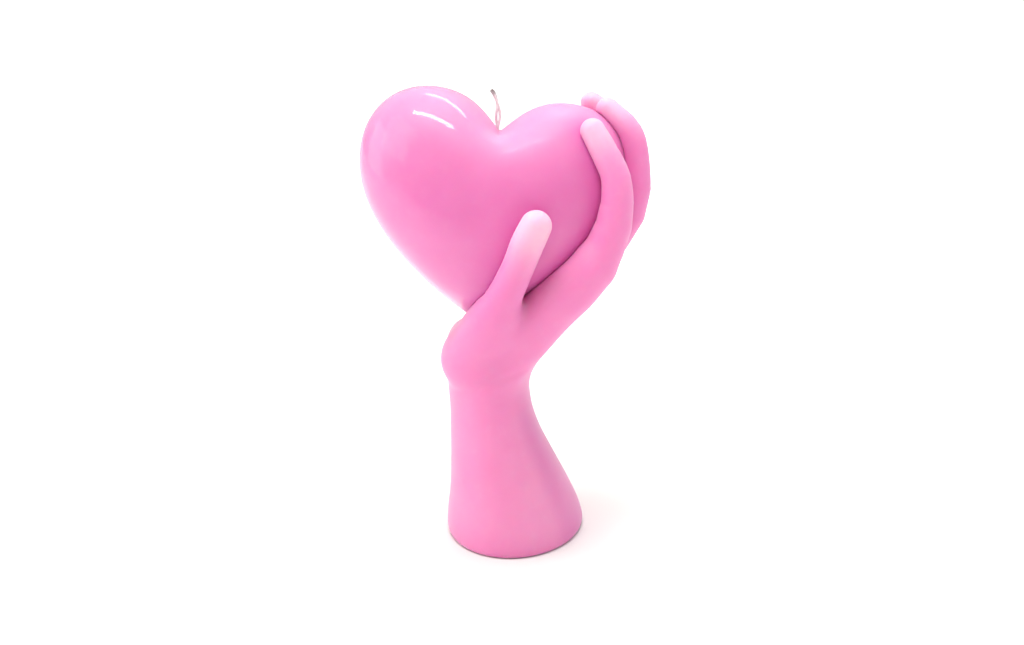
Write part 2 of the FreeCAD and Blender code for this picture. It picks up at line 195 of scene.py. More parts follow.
def smooth_curve(values: np.ndarray, keys: Sequence[float], heights: Sequence[float]) -> np.ndarray:
    """A smooth curve through key heights that never overshoots them.

    Args:
        values: where the curve is read.
        keys: rising key positions.
        heights: height at each key.

    Returns:
        The curve's heights.
    """
    x = np.asarray(keys, dtype=float)
    y = np.asarray(heights, dtype=float)
    gap = np.diff(x)
    rise = np.diff(y) / gap
    slope = np.concatenate([rise[:1], np.zeros(len(x) - 2), rise[-1:]])
    mean = (rise[:-1] * gap[1:] + rise[1:] * gap[:-1]) / (gap[:-1] + gap[1:])
    limit = 3.0 * np.minimum(np.abs(rise[:-1]), np.abs(rise[1:]))
    same = rise[:-1] * rise[1:] > 0.0
    slope[1:-1] = np.where(same, np.sign(mean) * np.minimum(np.abs(mean), limit), 0.0)
    at = np.clip(np.searchsorted(x, values) - 1, 0, len(x) - 2)
    t = np.clip((values - x[at]) / gap[at], 0.0, 1.0)
    low = y[at] * (2 * t ** 3 - 3 * t ** 2 + 1) + slope[at] * gap[at] * (t ** 3 - 2 * t ** 2 + t)
    high = y[at + 1] * (3 * t ** 2 - 2 * t ** 3) + slope[at + 1] * gap[at] * (t ** 3 - t ** 2)
    return low + high


# ---------------------------------------------------------------- fields to meshes
@dataclass(frozen=True)
class SurfaceNet:
    """Turns a field into an even net of quads that lies on its zero surface.

    The box from low to high is first read in blocks of coarse cells a side, and only the
    blocks within block_reach of the surface are read cell by cell. Each vertex is then
    pushed onto the surface in a few passes.
    """

    low: Point
    high: Point
    step: float
    coarse: int = 4
    block_reach: float = 1.35
    passes: int = 3
    slope_reach: float = 0.25
    least_slope: float = 0.2
    most_push: float = 0.5
    chunk: int = 200_000

    def sample(self, field: Field, points: np.ndarray) -> np.ndarray:
        """Reads a field in chunks, to keep memory low."""
        parts = [field(points[at:at + self.chunk]) for at in range(0, len(points), self.chunk)]
        return np.concatenate(parts)

    def grid(self, field: Field) -> np.ndarray:
        """Samples the field finely near its surface and coarsely elsewhere.

        Args:
            field: signed distance field.

        Returns:
            Field values on the fine grid.
        """
        low, high = np.array(self.low), np.array(self.high)
        wide = self.step * self.coarse
        blocks = np.ceil((high - low) / wide).astype(int)
        spots = [low[k] + wide * (np.arange(blocks[k]) + 0.5) for k in range(3)]
        centres = np.stack(np.meshgrid(*spots, indexing="ij"), -1).reshape(-1, 3)
        rough = self.sample(field, centres)
        near = np.abs(rough) < wide * self.block_reach
        fine = np.repeat(np.sign(rough) * wide, self.coarse ** 3)
        inner = (np.arange(self.coarse) + 0.5) * self.step - wide / 2
        offsets = np.stack(np.meshgrid(inner, inner, inner, indexing="ij"), -1).reshape(-1, 3)
        places = (centres[near][:, None, :] + offsets[None]).reshape(-1, 3)
        fine = fine.reshape(-1, self.coarse ** 3)
        fine[near] = self.sample(field, places).reshape(-1, self.coarse ** 3)
        cube = fine.reshape(*blocks, self.coarse, self.coarse, self.coarse)
        return cube.transpose(0, 3, 1, 4, 2, 5).reshape(*(blocks * self.coarse))

    def settle(self, field: Field, vertices: np.ndarray) -> np.ndarray:
        """Pushes vertices along the field's slope until they lie on its zero surface.

        Args:
            field: signed distance field.
            vertices: places close to the surface, one row each.

        Returns:
            The places on the surface.
        """
        for _ in range(self.passes):
            slope = slopes(partial(self.sample, field), vertices, self.slope_reach)
            steep = np.maximum((slope * slope).sum(1), self.least_slope)
            push = np.clip(self.sample(field, vertices), -self.most_push, self.most_push)
            vertices = vertices - (push / steep)[:, None] * slope
        return vertices

    def build(self, field: Field) -> tuple[np.ndarray, np.ndarray]:
        """Nets the zero surface.

        Args:
            field: signed distance field.

        Returns:
            Vertices in millimetres and quads as vertex numbers, facing outwards.
        """
        values = self.grid(field)
        size = values.shape
        inside = values < 0.0
        corners = [(i, j, k) for i in (0, 1) for j in (0, 1) for k in (0, 1)]
        count = sum(
            inside[i:size[0] - 1 + i, j:size[1] - 1 + j, k:size[2] - 1 + k].astype(np.int8)
            for i, j, k in corners
        )
        active = (count > 0) & (count < len(corners))
        cells = np.argwhere(active)
        number = np.full(active.shape, -1)
        number[active] = np.arange(len(cells))
        total = np.zeros((len(cells), 3))
        hits = np.zeros(len(cells))
        for axis in range(3):
            others = [k for k in range(3) if k != axis]
            for pair in ((0, 0), (0, 1), (1, 0), (1, 1)):
                near = np.zeros(3, dtype=int)
                near[others[0]], near[others[1]] = pair
                far = near.copy()
                far[axis] = 1
                first = values[tuple((cells + near).T)]
                second = values[tuple((cells + far).T)]
                crossed = (first < 0.0) != (second < 0.0)
                share = first / np.where(crossed, first - second, 1.0)
                spot = np.tile(near.astype(float), (len(cells), 1))
                spot[:, axis] = share
                total[crossed] += spot[crossed]
                hits[crossed] += 1
        start = np.array(self.low) + self.step / 2
        vertices = (cells + total / hits[:, None]) * self.step + start
        quads = np.concatenate([self.faces(inside, number, axis) for axis in range(3)])
        return self.settle(field, vertices), quads

    def faces(self, inside: np.ndarray, number: np.ndarray, axis: int) -> np.ndarray:
        """Quads across the grid edges that run along one axis.

        Args:
            inside: which grid points lie inside.
            number: vertex number of each active cell.
            axis: direction of the edges.

        Returns:
            One row of four vertex numbers for each crossed edge.
        """
        others = [k for k in range(3) if k != axis]
        first = [slice(None)] * 3
        first[axis] = slice(0, inside.shape[axis] - 1)
        for k in others:
            first[k] = slice(1, inside.shape[k] - 1)
        second = list(first)
        second[axis] = slice(1, inside.shape[axis])
        near, far = inside[tuple(first)], inside[tuple(second)]
        edges = np.argwhere(near != far)
        outwards = near[tuple(edges.T)]
        edges[:, others[0]] += 1
        edges[:, others[1]] += 1
        corners = []
        for a, b in ((-1, -1), (0, -1), (0, 0), (-1, 0)):
            cell = edges.copy()
            cell[:, others[0]] += a
            cell[:, others[1]] += b
            corners.append(number[tuple(cell.T)])
        quads = np.stack(corners, 1)
        # seen along Y the other two axes turn the other way round than along X or Z
        turn = outwards if axis == 1 else ~outwards
        quads[turn] = quads[turn][:, ::-1]
        return quads


def mesh_object(name: str, vertices: np.ndarray, faces: Rows,
                material: bpy.types.Material) -> bpy.types.Object:
    """Makes a smooth-shaded object from millimetre vertices.

    Args:
        name: object name.
        vertices: corner positions in millimetres.
        faces: vertex numbers of each face.
        material: what it is made of.

    Returns:
        The linked object.
    """
    mesh = bpy.data.meshes.new(name)
    rows = faces.tolist() if isinstance(faces, np.ndarray) else faces
    mesh.from_pydata((np.asarray(vertices) * MM).tolist(), [], rows)
    mesh.validate()
    mesh.shade_smooth()
    mesh.materials.append(material)
    thing = bpy.data.objects.new(name, mesh)
    bpy.context.scene.collection.objects.link(thing)
    return thing


def paint(thing: bpy.types.Object, tint: Tint, values: np.ndarray) -> None:
    """Writes one number per vertex, for a material to read by name."""
    layer = thing.data.attributes.new(tint.value, "FLOAT", "POINT")
    layer.data.foreach_set("value", values.astype(np.float32))


def top_light(thing: bpy.types.Object) -> np.ndarray:
    """Painted light from above at each vertex: most where it faces up, none where it faces sideways
    or down.
    """
    normals = np.empty(len(thing.data.vertices) * 3, dtype=np.float32)
    thing.data.vertex_normals.foreach_get("vector", normals)
    return smooth_step(normals.reshape(-1, 3)[:, 2], 0.0, 1.0)


# ---------------------------------------------------------------- shaders
class MathKind(Enum):
    """Operations of a Math node that the signals use."""

    ADD = "ADD"
    SUBTRACT = "SUBTRACT"
    MULTIPLY = "MULTIPLY"


class MixSocket(IntEnum):
    """Places of the colour sockets on a Mix node, whose names repeat."""

    AMOUNT = 0
    FIRST = 6
    SECOND = 7
    RESULT = 2


class Signal:
    """One number running through a shader, worked on with Python's operators."""

    def __init__(self, shader: "Shader", socket: bpy.types.NodeSocket) -> None:
        """Keeps the shader it belongs to and the socket it leaves from."""
        self.shader = shader
        self.socket = socket

    def combine(self, kind: MathKind, first: "Number", second: "Number") -> "Signal":
        """Runs two numbers through one Math node.

        Args:
            kind: the operation.
            first: left-hand number.
            second: right-hand number.

        Returns:
            The node's result.
        """
        made = self.shader.node(
            "ShaderNodeMath", {"operation": kind.value}, {0: first, 1: second}
        )
        return Signal(self.shader, made.outputs[0])

    def __add__(self, other: "Number") -> "Signal":
        """self + other."""
        return self.combine(MathKind.ADD, self, other)

    def __radd__(self, other: "Number") -> "Signal":
        """other + self."""
        return self.combine(MathKind.ADD, other, self)

    def __sub__(self, other: "Number") -> "Signal":
        """self - other."""
        return self.combine(MathKind.SUBTRACT, self, other)

    def __rsub__(self, other: "Number") -> "Signal":
        """other - self."""
        return self.combine(MathKind.SUBTRACT, other, self)

    def __mul__(self, other: "Number") -> "Signal":
        """self * other."""
        return self.combine(MathKind.MULTIPLY, self, other)

    def __rmul__(self, other: "Number") -> "Signal":
        """other * self."""
        return self.combine(MathKind.MULTIPLY, other, self)

    def swing(self, width: float) -> "Signal":
        """The same variation, moved from around a half to around 0, this wide."""
        return (self - 0.5) * width


Number = Union[Signal, float]


class Shader:
    """A material's node tree around one Principled BSDF."""

    def __init__(self, name: str) -> None:
        """Starts an empty material with its shader and output."""
        self.material = bpy.data.materials.new(name)
        self.material.use_nodes = True
        self.tree = self.material.node_tree
        self.tree.nodes.clear()
        self.surface = self.node("ShaderNodeBsdfPrincipled", {}, {})
        self.node("ShaderNodeOutputMaterial", {}, {"Surface": self.surface.outputs["BSDF"]})
        self.place = self.node("ShaderNodeTexCoord", {}, {}).outputs["Object"]

    def node(self, kind: str, settings: dict[str, Any], inputs: dict[Any, Any]) -> bpy.types.Node:
        """Adds one node.

        Args:
            kind: Blender's node type.
            settings: properties of the node.
            inputs: values, sockets or signals by input name or number.

        Returns:
            The new node.
        """
        made = self.tree.nodes.new(kind)
        for word, value in settings.items():
            setattr(made, word, value)
        for word, value in inputs.items():
            value = value.socket if isinstance(value, Signal) else value
            if isinstance(value, bpy.types.NodeSocket):
                self.tree.links.new(value, made.inputs[word])
            else:
                made.inputs[word].default_value = value
        return made

    def noise(self, scale: float, detail: float, stretch: Point = (1.0, 1.0, 1.0)) -> Signal:
        """Soft random variation over the surface.

        Args:
            scale: features per metre.
            detail: how many finer layers it has.
            stretch: scale along each axis.

        Returns:
            A signal around a half.
        """
        space = self.node("ShaderNodeMapping", {}, {"Vector": self.place, "Scale": stretch})
        made = self.node(
            "ShaderNodeTexNoise", {},
            {"Vector": space.outputs[0], "Scale": scale, "Detail": detail,
             "Roughness": NOISE_ROUGHNESS},
        )
        return Signal(self, made.outputs[0])

    def painted(self, tint: Tint) -> Signal:
        """Reads what was painted on the vertices as this tint."""
        made = self.node("ShaderNodeAttribute", {"attribute_name": tint.value}, {})
        return Signal(self, made.outputs["Fac"])

    def band(self, signal: Signal, low: float, high: float) -> Signal:
        """Stretches a signal so that low becomes 0 and high becomes 1, and clips it."""
        made = self.node(
            "ShaderNodeMapRange", {"clamp": True},
            {"Value": signal, "From Min": low, "From Max": high},
        )
        return Signal(self, made.outputs[0])

    def mix(self, amount: Signal, first: Any, second: Any) -> bpy.types.NodeSocket:
        """Mixes two colours.

        Args:
            amount: 0 gives the first, 1 the second.
            first: a colour or a colour socket.
            second: a colour or a colour socket.

        Returns:
            The mixed colour's socket.
        """
        ends = [(*end, 1.0) if isinstance(end, tuple) else end for end in (first, second)]
        made = self.node(
            "ShaderNodeMix", {"data_type": "RGBA"},
            {MixSocket.AMOUNT: amount, MixSocket.FIRST: ends[0], MixSocket.SECOND: ends[1]},
        )
        return made.outputs[MixSocket.RESULT]

    def bump(self, height: Signal, distance: float, strength: float) -> None:
        """Feeds a height in metres times distance to the surface's normal."""
        made = self.node(
            "ShaderNodeBump", {},
            {"Height": height, "Distance": distance, "Strength": strength},
        )
        self.set(Normal=made.outputs[0])

    def set(self, **inputs: Any) -> None:
        """Sets inputs of the surface; an underscore stands for a space."""
        for word, value in inputs.items():
            socket = self.surface.inputs[word.replace("_", " ")]
            value = value.socket if isinstance(value, Signal) else value
            if isinstance(value, bpy.types.NodeSocket):
                self.tree.links.new(value, socket)
            else:
                socket.default_value = value


@dataclass(frozen=True)
class WaxFinish:
    """Cast paraffin wax: translucent, mottled, with painted light where thin and painted shade in
    recesses.
    """

    name: str
    colour: Colour
    cloudy: Colour
    frosted: Colour
    roughness: float
    coat: float
    specular: float
    sheen: float
    # colours of the painted light and of the painted shade
    pale: Colour = (0.92, 0.70, 0.77)
    recess_shade: Colour = (0.60, 0.075, 0.38)
    cloud_scale: float = 38.0
    mottle_scale: float = 210.0
    grain_scale: float = 1500.0
    cloud_band: Span = (0.3, 0.7)
    frost_band: Span = (0.52, 0.8)
    frost: float = 0.1
    scatter: float = 0.0020
    scatter_colour: Colour = (1.0, 0.42, 0.62)
    relief: float = 0.0009

    def build(self) -> bpy.types.Material:
        """Makes the material.

        Returns:
            The finished material.
        """
        shader = Shader(self.name)
        cloud = shader.noise(self.cloud_scale, 2.0)
        mottle = shader.noise(self.mottle_scale, 4.0)
        grain = shader.noise(self.grain_scale, 2.0)
        body = shader.mix(shader.band(cloud, *self.cloud_band), self.cloudy, self.colour)
        frost = shader.band(mottle, *self.frost_band) * self.frost
        body = shader.mix(frost, body, self.frosted)
        # painted light: the wax turns paler where the mesh is painted as lit
        body = shader.mix(shader.painted(Tint.PAINTED_LIGHT), body, self.pale)
        shader.set(
            # painted shade: the base colour deepens where the mesh is painted as shaded
            Base_Color=shader.mix(shader.painted(Tint.RECESS_SHADE), body, self.recess_shade),
            Roughness=self.roughness + mottle.swing(0.1) + cloud.swing(0.06),
            Coat_Weight=shader.painted(Tint.POLISH) * (self.coat + mottle.swing(0.1)),
            Coat_Roughness=0.06,
            Specular_IOR_Level=self.specular,
            Sheen_Weight=self.sheen,
            Sheen_Roughness=0.45,
            Subsurface_Weight=1.0,
            Subsurface_Radius=self.scatter_colour,
            Subsurface_Scale=self.scatter,
            IOR=1.44,
        )
        shader.bump(cloud * 0.5 + mottle * 0.05 + grain * 0.01, self.relief, 0.5)
        return shader.material


@dataclass(frozen=True)
class CottonFinish:
    """Twisted cotton with a little wax in it, darker towards its free end."""

    name: str
    colour: Colour
    stain: Colour
    tip: Colour
    tip_from: float
    tip_to: float
    fibre_scale: float = 2600.0
    patch_scale: float = 320.0
    stain_band: Span = (0.35, 0.7)
    ragged: float = 0.004
    relief: float = 0.00012

    def build(self) -> bpy.types.Material:
        """Makes the material.

        Returns:
            The finished material.
        """
        shader = Shader(self.name)
        parts = shader.node("ShaderNodeSeparateXYZ", {}, {"Vector": shader.place})
        height = Signal(shader, parts.outputs["Z"])
        fibre = shader.noise(self.fibre_scale, 3.0, (1.0, 1.0, 0.25))
        patch = shader.noise(self.patch_scale, 2.0)
        cloth = shader.mix(shader.band(patch, *self.stain_band), self.colour, self.stain)
        dark = shader.band(height + patch.swing(self.ragged), self.tip_from, self.tip_to)
        shader.set(
            Base_Color=shader.mix(dark, cloth, self.tip),
            Roughness=0.78 + fibre.swing(0.2),
            Sheen_Weight=0.35,
            Subsurface_Weight=0.15,
            Subsurface_Radius=(1.0, 0.8, 0.7),
            Subsurface_Scale=0.0005,
        )
        shader.bump(fibre, self.relief, 0.8)
        return shader.material


@dataclass(frozen=True)
class TinFinish:
    """Thin tinned sheet, pressed and slightly dulled."""

    name: str
    colour: Colour
    dull: Colour
    grain_scale: float = 900.0
    stain_scale: float = 260.0
    dull_band: Span = (0.4, 0.75)
    relief: float = 0.00006

    def build(self) -> bpy.types.Material:
        """Makes the material.

        Returns:
            The finished material.
        """
        shader = Shader(self.name)
        grain = shader.noise(self.grain_scale, 3.0, (1.0, 12.0, 1.0))
        stain = shader.noise(self.stain_scale, 3.0)
        shader.set(
            Base_Color=shader.mix(shader.band(stain, *self.dull_band), self.colour, self.dull),
            Metallic=1.0,
            Roughness=0.3 + grain.swing(0.25) + stain.swing(0.15),
        )
        shader.bump(grain * 0.4 + stain * 0.6, self.relief, 0.7)
        return shader.material


@dataclass(frozen=True)
class FloorFinish:
    """A plain, pale, matt studio floor that glows more the farther it is from the candle."""

    name: str
    colour: Colour
    shade: Colour
    cloud_scale: float = 3.0
    glow: float = 0.85
    glow_from: float = 0.04
    glow_to: float = 1.1

    def build(self) -> bpy.types.Material:
        """Makes the material.

        Returns:
            The finished material.
        """
        shader = Shader(self.name)
        cloud = shader.noise(self.cloud_scale, 2.0)
        away = shader.node("ShaderNodeVectorMath", {"operation": "LENGTH"}, {0: shader.place})
        lit = shader.band(Signal(shader, away.outputs["Value"]), self.glow_from, self.glow_to)
        shader.set(
            Base_Color=shader.mix(cloud, self.colour, self.shade),
            Roughness=0.85 + cloud.swing(0.1),
            Specular_IOR_Level=0.2,
            Emission_Color=shader.mix(lit, BLACK, WHITE),
            Emission_Strength=self.glow,
        )
        return shader.material


HEART_WAX = WaxFinish(
    "heart_wax_finish", colour=(0.77, 0.208, 0.485), cloudy=(0.74, 0.175, 0.45),
    frosted=(0.86, 0.40, 0.60), roughness=0.46, coat=0.7, specular=0.9, sheen=0.18,
)
HAND_WAX = WaxFinish(
    "hand_wax_finish", colour=(0.82, 0.26, 0.525), cloudy=(0.80, 0.23, 0.50),
    frosted=(0.88, 0.45, 0.64), roughness=0.52, coat=0.12, specular=0.5, sheen=0.1,
)
WICK_COTTON = CottonFinish(
    "wick_cotton_finish", colour=(0.84, 0.80, 0.80), stain=(0.74, 0.62, 0.65),
    tip=(0.24, 0.20, 0.20), tip_from=0.2030, tip_to=0.2070,
)
TAB_TIN = TinFinish("tab_tin_finish", colour=(0.72, 0.72, 0.73), dull=(0.52, 0.51, 0.50))
FLOOR = FloorFinish("studio_floor", colour=(0.82, 0.82, 0.82), shade=(0.79, 0.79, 0.79))


# ---------------------------------------------------------------- heart
@dataclass(frozen=True)
class Heart:
    """A puffed heart, measured in its own frame from the cleft between the lobes.

    The lobes rise above the cleft; widest, belly and drop are distances below it. The
    outline is three curves, shaped by the pulls at their ends. The cleft is sharp in the
    heart's middle plane and softens into a dimple over the fades, which are shares of the
    half thickness. The lobe away from the fingers is polished. From polish_gap beside the
    cleft the polish is lost towards the fingers.
    """

    finish: WaxFinish
    cleft: Point = (-7.6, 0.0, 188.6)
    tilt: float = 7.4
    half_width: float = 60.9
    half_thickness: float = 36.0
    rise: float = 16.3
    drop: float = 86.0
    lobe_x: float = 30.0
    widest: float = 16.0
    belly: float = 56.0
    cleft_pull: float = 7.0
    crest_pulls: Span = (16.0, 18.0)
    flank_pulls: Span = (19.0, 30.0)
    point_pull: Span = (28.0, 15.0)
    outline_steps: int = 64
    crease: float = 0.5
    dimple: float = 14.0
    front_fade: Span = (0.12, 0.9)
    back_fade: Span = (0.3, 0.95)
    slope_reach: float = 0.3
    least_slope: float = 1e-4
    # painted shade where the hand comes near
    recess_shade_reach: float = 10.5
    recess_shade_depth: float = 0.68
    # painted light on faces turned up
    top_light_depth: float = 0.36
    polish_gap: float = 6.0
    polish_fade: float = 10.0
    polish_loss: float = 0.88
    net: SurfaceNet = SurfaceNet((-76.0, -41.0, 97.0), (60.0, 41.0, 213.0), 1.0)

    def outline(self) -> np.ndarray:
        """One side of the heart from the cleft to the point.

        Returns:
            Rows of distance from the axis and distance below the cleft.
        """
        t = np.linspace(0.0, 1.0, self.outline_steps)[:, None]
        crest = (self.lobe_x, -self.rise)
        flank = (self.half_width, self.widest)
        runs = (
            ((0.0, 0.0), (self.cleft_pull, -self.cleft_pull),
             (crest[0] - self.crest_pulls[0], crest[1]), crest),
            (crest, (crest[0] + self.crest_pulls[1], crest[1]),
             (flank[0], flank[1] - self.flank_pulls[0]), flank),
            (flank, (flank[0], flank[1] + self.flank_pulls[1]),
             (self.point_pull[0], self.drop - self.point_pull[1]), (0.0, self.drop)),
        )
        curves = []
        for run in runs:
            a, b, c, d = (np.array(end) for end in run)
            curve = (1 - t) ** 3 * a + 3 * (1 - t) ** 2 * t * b + 3 * (1 - t) * t * t * c
            curves.append(curve + t ** 3 * d)
        return np.concatenate([curves[0], curves[1][1:], curves[2][1:]])

    def level(self, points: np.ndarray) -> np.ndarray:
        """How far out a point lies, as a share of the surface.

        Args:
            points: places in millimetres, one row each.

        Returns:
            1 on the surface, less inside.
        """
        lean = math.radians(self.tilt)
        offset = points - np.array(self.cleft)
        side = offset @ np.array([math.cos(lean), 0.0, -math.sin(lean)])
        below = offset @ np.array([-math.sin(lean), 0.0, -math.cos(lean)]) - self.belly
        outline = self.outline()
        turn = np.arctan2(outline[:, 0], self.belly - outline[:, 1])
        reach = np.hypot(outline[:, 0], outline[:, 1] - self.belly)
        deep = np.abs(offset[:, 1]) / self.half_thickness
        ahead = offset[:, 1] < 0.0
        low = np.where(ahead, self.front_fade[0], self.back_fade[0])
        high = np.where(ahead, self.front_fade[1], self.back_fade[1])
        soft = self.crease + self.dimple * smooth_step(deep, low, high)
        aside = np.sqrt(side * side + soft * soft)
        edge = np.interp(np.arctan2(aside, -below), turn, reach)
        out = np.hypot(side, below) / edge
        return np.sqrt(out * out + deep * deep)

    def distance(self, points: np.ndarray) -> np.ndarray:
        """Nearly signed distance to the heart in millimetres."""
        slope = slopes(self.level, points, self.slope_reach)
        steep = np.maximum(np.sqrt((slope * slope).sum(1)), self.least_slope)
        return (self.level(points) - 1.0) / steep

    def build(self, hand: Field) -> bpy.types.Object:
        """Makes the heart and puts it in the frame.

        Args:
            hand: field of the hand round it, whose nearness paints shade on the heart.

        Returns:
            The heart's object.
        """
        vertices, quads = self.net.build(self.distance)
        thing = mesh_object("heart_wax", vertices, quads, self.finish.build())
        # painted shade, deeper the nearer the hand is
        near = closeness(hand(vertices), self.recess_shade_reach)
        paint(thing, Tint.RECESS_SHADE, near * self.recess_shade_depth)
        # painted light on faces turned up
        paint(thing, Tint.PAINTED_LIGHT, self.top_light_depth * top_light(thing))
        aside = self.cleft[0] - self.polish_gap - vertices[:, 0]
        dull = 1.0 - smooth_step(aside, 0.0, self.polish_fade)
        paint(thing, Tint.POLISH, 1.0 - self.polish_loss * dull)
        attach(thing, "root")
        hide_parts("heart")
        return thing


# ---------------------------------------------------------------- hand
@dataclass(frozen=True)
class Finger:
    """One finger: the line through its middle from inside the palm to its tip.

    Each joint has a crease across it and a fainter one a little farther on.
    """

    line: tuple[Point, ...]
    radii: tuple[float, ...]
    crease: float = 0.16
    crease_width: float = 0.9
    second_share: float = 0.5
    second_gap: float = 2.3
    second_width: float = 0.8
    crease_reach: float = 2.0
    joints: tuple[int, ...] = (2, 4)
    runs: int = 3
    margin: float = 11.0

    def path(self) -> tuple[np.ndarray, np.ndarray]:
        """The line and radii, smoothed between the given points."""
        keys = np.array(self.line, dtype=float)
        way = lengths(keys)
        numbers = np.arange(len(way))
        at = np.interp(np.linspace(0.0, numbers[-1], numbers[-1] * self.runs + 1), numbers, way)
        spots = np.stack([smooth_curve(at, way, keys[:, k]) for k in range(3)], 1)
        return spots, smooth_curve(at, way, self.radii)

    def distance(self, points: np.ndarray) -> np.ndarray:
        """Field of the finger with faint creases at its joints.

        Args:
            points: places in millimetres, one row each.

        Returns:
            Signed distances, no more than the margin away from the finger.
        """
        spots, radii = self.path()
        low = (spots - radii[:, None]).min(0) - self.margin
        high = (spots + radii[:, None]).max(0) + self.margin
        near = ((points > low) & (points < high)).all(1)
        result = np.full(len(points), self.margin)
        close = points[near]
        inner = np.full(len(close), self.margin)
        for start, end, first, last in zip(spots[:-1], spots[1:], radii[:-1], radii[1:]):
            inner = np.minimum(inner, round_cone(close, start, end, first, last))
        for number in self.joints:
            at = number * self.runs
            way = spots[at + 1] - spots[at - 1]
            way = way / np.linalg.norm(way)
            off = (close - spots[at]) @ way
            beside = np.linalg.norm(close - spots[at], axis=1) < radii[at] * self.crease_reach
            fold = np.exp(-(off / self.crease_width) ** 2)
            second = np.exp(-((off - self.second_gap) / self.second_width) ** 2)
            fold = fold + self.second_share * second
            inner = inner + np.where(beside, self.crease * fold, 0.0)
        result[near] = inner
        return result


@dataclass(frozen=True)
class Pad:
    """A soft lump of the palm: a cone with round ends and a fillet round it."""

    start: Point
    end: Point
    first: float
    last: float
    fillet: float

    def join(self, field: np.ndarray, points: np.ndarray) -> np.ndarray:
        """Adds the lump to a field that was read at these points."""
        start, end = np.array(self.start, dtype=float), np.array(self.end, dtype=float)
        return blend_in(field, round_cone(points, start, end, self.first, self.last), self.fillet)


